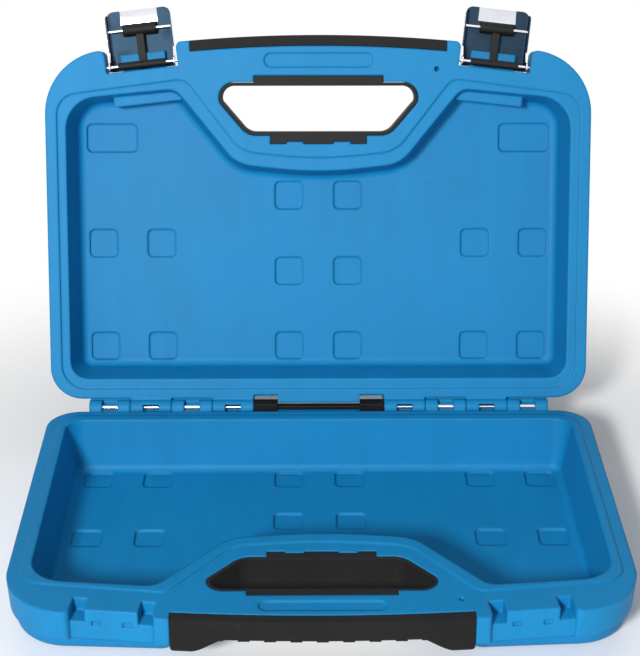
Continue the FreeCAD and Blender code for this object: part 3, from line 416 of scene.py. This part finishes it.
def bright_metal(name, colour, rough, streaks):
    """Plated or drawn steel with faint streaks and finger marks."""
    made, shader, place = new_material(name)
    lines = place.stretched(*streaks).noise(scale=1, detail=4, roughness=0.6)
    marks = place.noise(scale=60, detail=4, roughness=0.6).band(0.45, 0.75)
    tone = lines.band(0.3, 0.7).mix(*tones(colour, METAL_TONES))
    feed(
        shader,
        Base_Color=(marks * 0.25).mix(tone, shade(colour, MARK_TONE)),
        Roughness=rough + lines * 0.06 + marks * 0.08,
        Normal=lines.bump(0.08, METAL_RELIEF),
        Metallic=1.0,
    )
    return made


def studio_white():
    """Floor that takes the shadow near the case and is plain white further out."""
    made, shader, place = new_material("studio_white")
    tree = place.tree
    feed(shader, Base_Color=FLOOR_COLOUR, Roughness=FLOOR_ROUGHNESS)
    rays = tree.nodes.new("ShaderNodeLightPath")
    camera = Wire(tree, rays.outputs["Is Camera Ray"])
    seen = (camera + Wire(tree, rays.outputs["Is Glossy Ray"])).clamp()
    away = place.node("ShaderNodeVectorMath", {"operation": "LENGTH"}, out=1, i0=place).band(*FLOOR_FADE)
    lit = Wire(tree, shader.outputs[0])
    white = place.node("ShaderNodeEmission", Color=WHITE, Strength=1.0)
    shown = place.node("ShaderNodeMixShader", i0=seen * away, i1=lit, i2=white)
    # The floor hides nothing from below, and lets some room light reach the underside of the case
    below = Wire(tree, tree.nodes.new("ShaderNodeNewGeometry").outputs["Backfacing"])
    close = 1 - Wire(tree, rays.outputs["Ray Length"]).band(*CONTACT)
    open_to = (below + close * (1 - camera)).clamp()
    clear = place.node("ShaderNodeBsdfTransparent")
    shown = place.node("ShaderNodeMixShader", i0=open_to, i1=shown, i2=clear)
    tree.links.new(shown.socket, tree.nodes["Material Output"].inputs["Surface"])
    return made


# Pieces


def deselect():
    if bpy.context.object and bpy.context.object.mode != "OBJECT":
        bpy.ops.object.mode_set(mode="OBJECT")
    bpy.ops.object.select_all(action="DESELECT")


def focus(piece):
    deselect()
    piece.select_set(True)
    bpy.context.view_layer.objects.active = piece


def dress(piece, material):
    piece.data.materials.clear()
    piece.data.materials.append(material)


def finished_copy(node, edge):
    """Merged copy of a solid with rounded edges, which stands for it."""
    source = NODES[node]
    piece = bpy.data.objects.new(f"{node}_finished", source.data.copy())
    bpy.context.scene.collection.objects.link(piece)
    focus(piece)
    bpy.ops.object.mode_set(mode="EDIT")
    bpy.ops.mesh.select_all(action="SELECT")
    bpy.ops.mesh.remove_doubles(threshold=MERGED)
    bpy.ops.mesh.dissolve_limited(angle_limit=LEVEL)
    bpy.ops.mesh.select_all(action="DESELECT")
    bpy.ops.object.mode_set(mode="OBJECT")
    rounding = piece.modifiers.new("rounding", "BEVEL")
    rounding.width = edge
    rounding.segments = ROUNDING_SEGMENTS
    rounding.limit_method = "ANGLE"
    rounding.angle_limit = CORNER
    rounding.use_clamp_overlap = True
    bpy.ops.object.modifier_apply(modifier=rounding.name)
    bpy.ops.object.shade_smooth_by_angle(angle=CREASE)
    weights = piece.modifiers.new("weights", "WEIGHTED_NORMAL")
    weights.keep_sharp = True
    bpy.ops.object.modifier_apply(modifier=weights.name)
    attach(piece, BODY_OF[node])
    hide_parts(node)
    return piece


class CASE_OT_shells(bpy.types.Operator):
    """Finish the two blue shells"""

    bl_idname = "tool_case.shells"
    bl_label = "Blue shells"

    def execute(self, context):
        settings = context.scene.case_moulding
        blue = moulded_blue(settings)
        for node in ("base_shell", "lid_shell"):
            dress(finished_copy(node, settings.edge), blue)
        return {"FINISHED"}


class CASE_OT_hinge(bpy.types.Operator):
    """Finish the steel hinge pins and their black retainer"""

    bl_idname = "tool_case.hinge"
    bl_label = "Hinge pins and retainer"

    def execute(self, context):
        settings = context.scene.case_fitting
        steel = bright_metal("drawn_steel", HINGE_STEEL, rough=0.24, streaks=PIN_STREAKS)
        for node in ("hinge_pin_left", "hinge_pin_right"):
            dress(finished_copy(node, settings.sheet_edge), steel)
        black = moulded_black("black_clip", settings, SMOOTH_GRAIN, rough=0.45, strength=0.1)
        dress(finished_copy("hinge_pin_retainer", settings.edge), black)
        return {"FINISHED"}


class CASE_OT_grips(bpy.types.Operator):
    """Finish the black grips with their finger ribs"""

    bl_idname = "tool_case.grips"
    bl_label = "Grips"

    def execute(self, context):
        settings = context.scene.case_fitting
        black = moulded_black("grained_black", settings, GRIP_GRAIN, rough=0.62, strength=0.3)
        for node in ("base_grip", "lid_grip"):
            dress(finished_copy(node, settings.edge), black)
        return {"FINISHED"}


class CASE_OT_liners(bpy.types.Operator):
    """Finish the black liners of the two hand openings"""

    bl_idname = "tool_case.liners"
    bl_label = "Handle liners"

    def execute(self, context):
        settings = context.scene.case_fitting
        black = moulded_black("smooth_black", settings, SMOOTH_GRAIN, rough=0.54, strength=0.08)
        for node in ("base_handle_liner", "lid_handle_liner"):
            dress(finished_copy(node, settings.edge), black)
        return {"FINISHED"}


class CASE_OT_latches(bpy.types.Operator):
    """Finish both latches: bright covers, black inserts and their pins"""

    bl_idname = "tool_case.latches"
    bl_label = "Latches"

    def dull_inside(self, cover, side, dark_reflection_paint):
        """Paint a dark reflection on the faces that look at the insert, but not on the pressed thumb lip."""
        cover.data.materials.append(dark_reflection_paint)
        painted_reflection_slot = len(cover.data.materials) - 1
        low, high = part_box(f"{side}_latch_insert")
        insert = (Vector(low) + Vector(high)) / 2
        across = Vector(AXES[f"{side}_latch_hinge"])
        inner = [face for face in cover.data.polygons if face.normal.dot(insert - face.center) > 0]
        plate = max(inner, key=lambda face: face.area).normal.copy()
        for face in inner:
            if face.normal.dot(plate) > FLAT or abs(face.normal.dot(across)) > BENT:
                face.material_index = painted_reflection_slot

    def execute(self, context):
        settings = context.scene.case_fitting
        chrome = bright_metal("bright_plating", settings.plating, rough=0.13, streaks=COVER_STREAKS)
        # The inside of each cover gets a dark navy colour, a painted reflection of its dark and blue surroundings
        dark_reflection_paint = bright_metal("painted_reflection_plating", settings.inside, rough=0.46, streaks=COVER_STREAKS)
        steel = bright_metal("latch_pin_steel", LATCH_STEEL, rough=0.2, streaks=PIN_STREAKS)
        black = moulded_black("latch_black", settings, SMOOTH_GRAIN, rough=0.5, strength=0.08)
        for side in ("left", "right"):
            cover = finished_copy(f"{side}_latch_cover", settings.sheet_edge)
            dress(cover, chrome)
            self.dull_inside(cover, side, dark_reflection_paint)
            dress(finished_copy(f"{side}_latch_insert", settings.edge * INSERT_SHARE), black)
            for pin in ("pivot_pin", "barrel_pin"):
                dress(finished_copy(f"{side}_latch_{pin}", settings.sheet_edge), steel)
        return {"FINISHED"}


class CASE_OT_stage(bpy.types.Operator):
    """Set the floor, the lamps, the room light and the camera"""

    bl_idname = "tool_case.stage"
    bl_label = "Studio"

    def lamp(self, name, place, target, side, power):
        data = bpy.data.lights.new(name, "AREA")
        data.shape = "RECTANGLE"
        data.size = side
        data.size_y = side
        data.energy = power
        lamp = bpy.data.objects.new(name, data)
        bpy.context.scene.collection.objects.link(lamp)
        lamp.location = place
        lamp.rotation_euler = (Vector(target) - Vector(place)).to_track_quat("-Z", "Y").to_euler()

    def execute(self, context):
        scene = context.scene
        settings = scene.case_studio
        scene.view_settings.view_transform = "Standard"

        deselect()
        bpy.ops.mesh.primitive_plane_add(size=FLOOR_SIDE, location=(0, 0, FLOOR_LEVEL))
        floor = context.object
        floor.name = "studio_floor"
        dress(floor, studio_white())

        # White to the camera and in mirrors and glass; an even, lower light on the case
        world = bpy.data.worlds.new("studio_room")
        scene.world = world
        world.use_nodes = True
        tree = world.node_tree
        tree.nodes.clear()
        rays = tree.nodes.new("ShaderNodeLightPath")
        seen = Wire(tree, rays.outputs["Is Camera Ray"]) + Wire(tree, rays.outputs["Is Glossy Ray"])
        seen = (seen + Wire(tree, rays.outputs["Is Transmission Ray"])).clamp()
        strength = settings.world_light + seen * (1 - settings.world_light)
        light = seen.node("ShaderNodeBackground", Color=WHITE, Strength=strength)
        output = tree.nodes.new("ShaderNodeOutputWorld")
        tree.links.new(light.socket, output.inputs["Surface"])

        self.lamp("key_lamp", KEY_PLACE, KEY_TARGET, settings.key_size, settings.key_power)
        self.lamp("top_lamp", TOP_PLACE, TOP_TARGET, TOP_SIDE, settings.top_power)

        data = bpy.data.cameras.new("photo_camera")
        camera = bpy.data.objects.new("photo_camera", data)
        scene.collection.objects.link(camera)
        pitch = settings.camera_pitch
        yaw = settings.camera_yaw
        ahead = Vector((math.sin(yaw) * math.cos(pitch), math.cos(yaw) * math.cos(pitch), -math.sin(pitch)))
        right = Vector((math.cos(yaw), -math.sin(yaw), 0))
        up = right.cross(ahead)
        turned = Matrix.Rotation(-settings.camera_roll, 3, ahead)
        right = turned @ right
        up = turned @ up
        axes = Matrix((right, up, -ahead)).transposed().to_4x4()
        camera.matrix_world = Matrix.Translation(Vector(settings.camera_place)) @ axes
        data.lens = settings.lens
        data.sensor_width = SENSOR_WIDTH
        data.clip_start = CLIP_START
        scene.camera = camera
        return {"FINISHED"}


PIECES = (
    CASE_OT_shells,
    CASE_OT_hinge,
    CASE_OT_grips,
    CASE_OT_liners,
    CASE_OT_latches,
    CASE_OT_stage,
)


class CASE_PT_panel(bpy.types.Panel):
    """Every step of the tool case"""

    bl_idname = "CASE_PT_panel"
    bl_label = "Tool case"
    bl_space_type = "VIEW_3D"
    bl_region_type = "UI"
    bl_category = "Tool case"

    def draw(self, context):
        for group in ("case_moulding", "case_fitting", "case_studio"):
            settings = getattr(context.scene, group)
            for name in settings.bl_rna.properties.keys():
                if name not in {"rna_type", "name"}:
                    self.layout.prop(settings, name)
        for step in PIECES:
            self.layout.operator(step.bl_idname)


GROUPS = {
    "case_moulding": MouldingSettings,
    "case_fitting": FittingSettings,
    "case_studio": StudioSettings,
}


def register():
    for kind in (*GROUPS.values(), *PIECES, CASE_PT_panel):
        bpy.utils.register_class(kind)
    for name, kind in GROUPS.items():
        setattr(bpy.types.Scene, name, bpy.props.PointerProperty(type=kind))


def unregister():
    for name in GROUPS:
        delattr(bpy.types.Scene, name)
    for kind in reversed((*GROUPS.values(), *PIECES, CASE_PT_panel)):
        bpy.utils.unregister_class(kind)


def main():
    register()
    bpy.ops.tool_case.shells()
    bpy.ops.tool_case.hinge()
    bpy.ops.tool_case.grips()
    bpy.ops.tool_case.liners()
    bpy.ops.tool_case.latches()
    bpy.ops.tool_case.stage()


if __name__ == "__main__":
    main()
